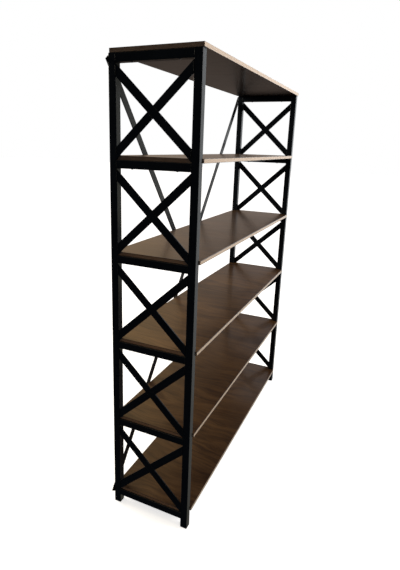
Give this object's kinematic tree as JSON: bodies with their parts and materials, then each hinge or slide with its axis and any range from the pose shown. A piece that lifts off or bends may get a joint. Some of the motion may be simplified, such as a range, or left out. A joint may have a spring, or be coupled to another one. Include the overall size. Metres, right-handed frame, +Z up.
{
  "type": "bookcase",
  "caption": "Tall open bookcase: plywood boards screwed to black steel side frames of square tube with flat-bar X braces in each bay, and crossed bars over the back.",
  "frame": {"origin": "on the floor, under the middle of the whole bookcase", "axes": "+Z up, +X to the right seen from the open front, +Y to the braced back"},
  "size_m": [1.417, 0.3724, 1.85],
  "materials": {
    "black_steel": "satin black powder coat",
    "stained_plywood": "dark brown stain and clear satin coat, raw edges along the front and back",
    "black_hardware": "black oxide with a trace of oil",
    "zinc_hardware": "bright zinc plate",
    "plug_plastic": "fine-textured black polyethylene"
  },
  "bodies": {
    "root": {"board_screws_1": "zinc_hardware", "board_screws_2": "zinc_hardware", "board_screws_3": "zinc_hardware", "board_screws_4": "zinc_hardware", "board_screws_5": "zinc_hardware", "board_screws_6": "zinc_hardware", "bottom_board": "stained_plywood", "foot_plugs": "plug_plastic", "left_brace_1": "black_steel", "left_brace_2": "black_steel", "left_brace_3": "black_steel", "left_brace_4": "black_steel", "left_brace_5": "black_steel", "left_cut_brace_1": "black_steel", "left_cut_brace_2": "black_steel", "left_cut_brace_3": "black_steel", "left_cut_brace_4": "black_steel", "left_cut_brace_5": "black_steel", "left_front_post": "black_steel", "left_rail_1": "black_steel", "left_rail_2": "black_steel", "left_rail_3": "black_steel", "left_rail_4": "black_steel", "left_rail_5": "black_steel", "left_rail_6": "black_steel", "left_rear_post": "black_steel", "rear_brace_bolts": "black_hardware", "rear_brace_falling": "black_steel", "rear_brace_rising": "black_steel", "rear_brace_rivet_nuts": "zinc_hardware", "rear_brace_spacers": "black_hardware", "rear_brace_washers": "black_hardware", "right_brace_1": "black_steel", "right_brace_2": "black_steel", "right_brace_3": "black_steel", "right_brace_4": "black_steel", "right_brace_5": "black_steel", "right_cut_brace_1": "black_steel", "right_cut_brace_2": "black_steel", "right_cut_brace_3": "black_steel", "right_cut_brace_4": "black_steel", "right_cut_brace_5": "black_steel", "right_front_post": "black_steel", "right_rail_1": "black_steel", "right_rail_2": "black_steel", "right_rail_3": "black_steel", "right_rail_4": "black_steel", "right_rail_5": "black_steel", "right_rail_6": "black_steel", "right_rear_post": "black_steel", "shelf_1": "stained_plywood", "shelf_2": "stained_plywood", "shelf_3": "stained_plywood", "shelf_4": "stained_plywood", "top_board": "stained_plywood"}
  },
  "joints": []
}
